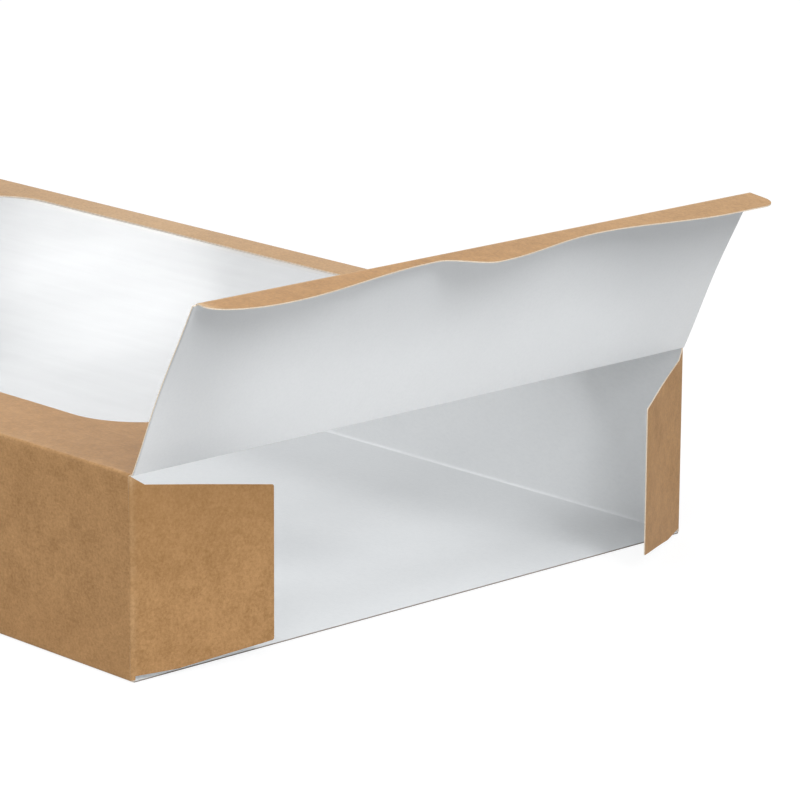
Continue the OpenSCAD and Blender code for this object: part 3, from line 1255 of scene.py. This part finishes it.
@dataclass
class GlueFlap:
    """Flap glued to the inside of the left wall, just above the floor."""

    sleeve: Sleeve
    half_length: float = 244.0
    taper: float = 8.0
    low: float = 0.55
    high: float = 15.0
    steps: tuple[int, int] = (60, 4)

    def build(self, palette: Palette) -> None:
        """Makes the flap: a strip with slanted ends that follows the bow of the wall.

        Args:
            palette: the finishes.
        """
        share = [np.linspace(0, 1, steps + 1) for steps in self.steps]
        along, up = np.meshgrid(2 * share[0] - 1, share[1], indexing="ij")
        x = along * (self.half_length - self.taper * up)
        z = self.low + (self.high - self.low) * up
        y = -BOX.crease_y + BOX.board + GLUE_GAP + self.sleeve.bow(x, z)
        sheet = Sheet(vectors(x, y, z), (0.0, -1.0, 0.0), BOX.half_board, BOX.half_board)
        attach(make_piece("glue_flap", [sheet], palette.board()), "box", "carton_body")


@dataclass
class Film:
    """Clear film glued under the top round the window, with slow waves inside it."""

    sleeve: Sleeve
    lap: float = 11.0
    thickness: float = 0.1
    wave: float = 0.06
    still_rim: float = 3.0
    wave_fade: float = 25.0
    reflection_band: float = 3.6
    reflection_fade: float = 2.5
    reflection_grey: float = 0.9

    def build(self, palette: Palette) -> None:
        """Makes the film: rows along the box, each as wide as the rounded outline is there.

        The half width falls off at both ends as a quarter circle. The sheet follows the sag of the
        top, with slow waves that fade out before the glued rim. A narrow strip inside the right
        edge carries a painted reflection of the board's shaded cut edge.

        Args:
            palette: the finishes.
        """
        s = self.sleeve
        a, b = s.window_half_length + self.lap, s.window_half_width + self.lap
        r = s.window_radius + self.lap
        ends = a - r + r * np.sin(np.radians(np.linspace(0, 90, 17)))
        rows = np.concatenate([-ends[::-1], np.linspace(r - a, a - r, 61)[1:-1], ends])
        past = np.clip((np.abs(rows) - (a - r)) / r, 0, 1)
        half_width = (b - r + r * np.sqrt(1 - past**2))[:, None]
        across = spaced((-1.0, 0.88, 62), (0.88, 0.93, 14), (0.93, 1.0, 3))
        x, v = np.meshgrid(rows, across, indexing="ij")
        y = s.window_middle + v * half_width
        rim = np.minimum(half_width * (1 - np.abs(v)), a - np.abs(x))
        inside = ease(rim - self.lap, self.still_rim, self.wave_fade)
        waves = np.sin(y / 17.0 + np.sin(x / 80.0)) + 0.7 * np.sin(x / 33.0 + y / 25.0 + 1.3)
        drop = self.wave * inside * (1.7 + waves) / 2
        z = BOX.height - BOX.board - self.thickness / 2 - GLUE_GAP - s.sag(x, y) - drop
        # Painted reflection of the board's shaded cut edge, as a grey strip inside the right edge.
        far = s.window_high - y
        strip = (far > -0.6) * (1 - ease(far, self.reflection_band, self.reflection_fade))
        painted_shade = self.reflection_grey * strip
        half = self.thickness / 2
        sheet = Sheet(vectors(x, y, z), (0.0, 0.0, 1.0), half, half, painted_shade=painted_shade, shade=painted_shade)
        piece = make_piece("window_film_sheet", [sheet], [palette.film] * 3)
        attach(piece, "box", "window_film")


def placed_at(side: ArrayLike, up: ArrayLike, back: ArrayLike, place: ArrayLike) -> Matrix:
    """Matrix of a camera or lamp that looks away from its back.

    Args:
        side: direction of its X axis.
        up: direction of its Y axis.
        back: direction of its Z axis.
        place: where it is, in metres.

    Returns:
        the matrix.
    """
    matrix = np.eye(4)
    matrix[:3] = np.stack([side, up, back, place], 1)
    return Matrix(matrix.tolist())


@dataclass(frozen=True)
class Lamp:
    """A soft square lamp aimed at the box, or with a gloss height an ellipse that only gloss sees.

    Its places and sizes are in metres, and its power is in watts.
    """

    name: str
    place: Point
    size: float
    power: float
    colour: Colour = (0.965, 0.985, 1.0)
    gloss_height: float = 0.0
    aim: Point = (0.15, 0.0, 0.04)

    def hang(self) -> None:
        """Makes the lamp, with its X axis level."""
        data = bpy.data.lights.new(self.name, "AREA")
        data.size, data.energy, data.color = self.size, self.power, self.colour
        lamp = bpy.data.objects.new(self.name, data)
        if self.gloss_height:
            data.shape, data.size_y = "ELLIPSE", self.gloss_height
            lamp.visible_diffuse = False
        back = np.array(self.place) - np.array(self.aim)
        back /= np.linalg.norm(back)
        side = np.cross([0.0, 0.0, 1.0], back)
        side /= np.linalg.norm(side)
        lamp.matrix_world = placed_at(side, np.cross(back, side), back, self.place)
        bpy.context.scene.collection.objects.link(lamp)


@dataclass
class Studio:
    """Pale floor, pale world, soft lamps and the camera at the photograph's angle.

    The camera's distance and sensor are in millimetres. Its clip range and the floor's size and
    drop are in metres.
    """

    azimuth: float = 46.848
    elevation: float = 14.602
    roll: float = 0.347
    distance: float = 1744.1
    focal_pixels: float = 4285.0
    target: Pair = (421.55, 603.78)
    frame_pixels: float = 800.0
    sensor: float = 36.0
    clip: Pair = (0.05, 50.0)
    world_colour: Colour = (0.97, 0.985, 1.0)
    world_light: float = 0.49
    floor_tones: tuple[Colour, Colour] = ((0.62, 0.62, 0.62), (0.6, 0.6, 0.6))
    floor_glow: float = 1.2
    floor_white: float = 0.72
    floor_size: float = 12.0
    floor_drop: float = 0.0003
    lamps: tuple[Lamp, ...] = (
        Lamp("key_lamp", (1.6, -0.9, 1.9), 1.6, 18.8),
        Lamp("front_lamp", (2.2, -0.3, 1.5), 0.7, 18.8),
        Lamp("side_lamp", (0.2, -1.6, 2.0), 0.9, 16.8),
        Lamp("rear_lamp", (-1.9, 1.4, 1.7), 1.5, 15.6),
        Lamp("film_glow", (-1.359, 1.141, 0.477), 0.2, 0.1, (1.0, 1.0, 1.0), gloss_height=0.09),
    )

    def camera(self) -> None:
        """Places the camera: the middle of the open end's floor edge falls on the target pixel."""
        a, e, roll = (math.radians(v) for v in (self.azimuth, self.elevation, self.roll))
        forward = -np.array(
            [math.sin(a) * math.cos(e), -math.cos(a) * math.cos(e), math.sin(e)]
        )
        level = np.array([math.cos(a), math.sin(a), 0.0])
        lift = np.cross(level, forward)
        right = math.cos(roll) * level + math.sin(roll) * lift
        up = -math.sin(roll) * level + math.cos(roll) * lift
        half = self.frame_pixels / 2
        across = (self.target[0] - half) / self.focal_pixels * self.distance
        above = -(self.target[1] - half) / self.focal_pixels * self.distance
        aim = np.array([BOX.length / 2, 0.0, 0.0])
        place = (aim - across * right - above * up - self.distance * forward) * MM
        data = bpy.data.cameras.new("photo_camera")
        data.sensor_width = self.sensor
        data.lens = self.focal_pixels / self.frame_pixels * self.sensor
        data.clip_start, data.clip_end = self.clip
        camera = bpy.data.objects.new("photo_camera", data)
        camera.matrix_world = placed_at(right, up, -forward, place)
        bpy.context.scene.collection.objects.link(camera)
        bpy.context.scene.camera = camera

    def world(self) -> None:
        """Pale world: white where it is seen as a backdrop, and dimmer where it lights the box."""
        n = Nodes(bpy.data.worlds.new("studio_world"), "World")
        strength = n.ramp(n.backdrop_ray(), 0.0, 1.0, self.world_light, 1.0)
        inputs = {"Color": (*self.world_colour, 1.0), "Strength": strength}
        bpy.context.scene.world = n.finish(n.add("Background", inputs))

    def floor(self) -> None:
        """Wide pale floor, nearly white as a backdrop, that keeps a faint shadow of the box."""
        n = Nodes(bpy.data.materials.new("studio_floor"))
        grain = n.noise(n.millimetres(), 0.02, 2.0)
        tone = n.mix(n.ramp(grain, *NOISE_SPAN, 0.0, 1.0), *self.floor_tones)
        paper = n.add("BsdfDiffuse", {"Color": tone})
        glow = n.add("Emission", {"Color": (1.0, 1.0, 1.0, 1.0), "Strength": self.floor_glow})
        share = n.maths("MULTIPLY", n.backdrop_ray(), self.floor_white)
        both = n.add("MixShader", {0: share, 1: paper.outputs[0], 2: glow.outputs[0]})
        mesh = bpy.data.meshes.new("studio_floor")
        r, z = self.floor_size, -self.floor_drop
        mesh.from_pydata([(-r, -r, z), (r, -r, z), (r, r, z), (-r, r, z)], [], [(0, 1, 2, 3)])
        mesh.materials.append(n.finish(both))
        floor = bpy.data.objects.new("studio_floor", mesh)
        bpy.context.scene.collection.objects.link(floor)

    def build(self) -> None:
        """Makes the camera, the world, the floor and the lamps, and sets plain colours."""
        self.camera()
        self.world()
        self.floor()
        for lamp in self.lamps:
            lamp.hang()
        bpy.context.scene.view_settings.view_transform = "Standard"


def main() -> None:
    logging.basicConfig(level=logging.INFO, format="%(name)s: %(message)s")
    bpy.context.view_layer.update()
    Studio().build()
    palette = Palette()
    sleeve = Sleeve()
    sleeve.build(palette)
    GlueFlap(sleeve).build(palette)
    Film(sleeve).build(palette)
    # The third number is painted shade towards the top of each front dust flap.
    fronts = ((Side.LEFT, BOX.left_dust_swing, 0.42), (Side.RIGHT, BOX.right_dust_swing, 0.0))
    for side, swing, shade in fronts:
        word = side.name.lower()
        DustFlap(End.FRONT, side, swing, top_shade=shade).build(
            f"front_dust_{word}_sheet", f"front_dust_{word}", f"front_dust_flap_{word}", palette
        )
    for side in Side:
        DustFlap(End.REAR, side, BOX.rear_dust_swing, radius=BOX.mid_radius, bow=0.2).build(
            f"rear_dust_{side.name.lower()}_sheet", "box", "carton_body", palette
        )
    LidFlap(
        "front",
        End.FRONT,
        BOX.front_lid_raise,
        BOX.front_tuck_bend,
        bodies=("front_lid", "front_tuck"),
        nodes=("front_lid_flap", "front_tuck_flap"),
    ).build(palette)
    LidFlap(
        "rear",
        End.REAR,
        BOX.rear_lid_raise,
        BOX.rear_tuck_bend,
        bodies=("rear_lid", "rear_lid"),
        nodes=("rear_lid_flap", "rear_lid_flap"),
        bow=-0.1,
        ripple=0.05,
    ).build(palette)


if __name__ == "__main__":
    main()
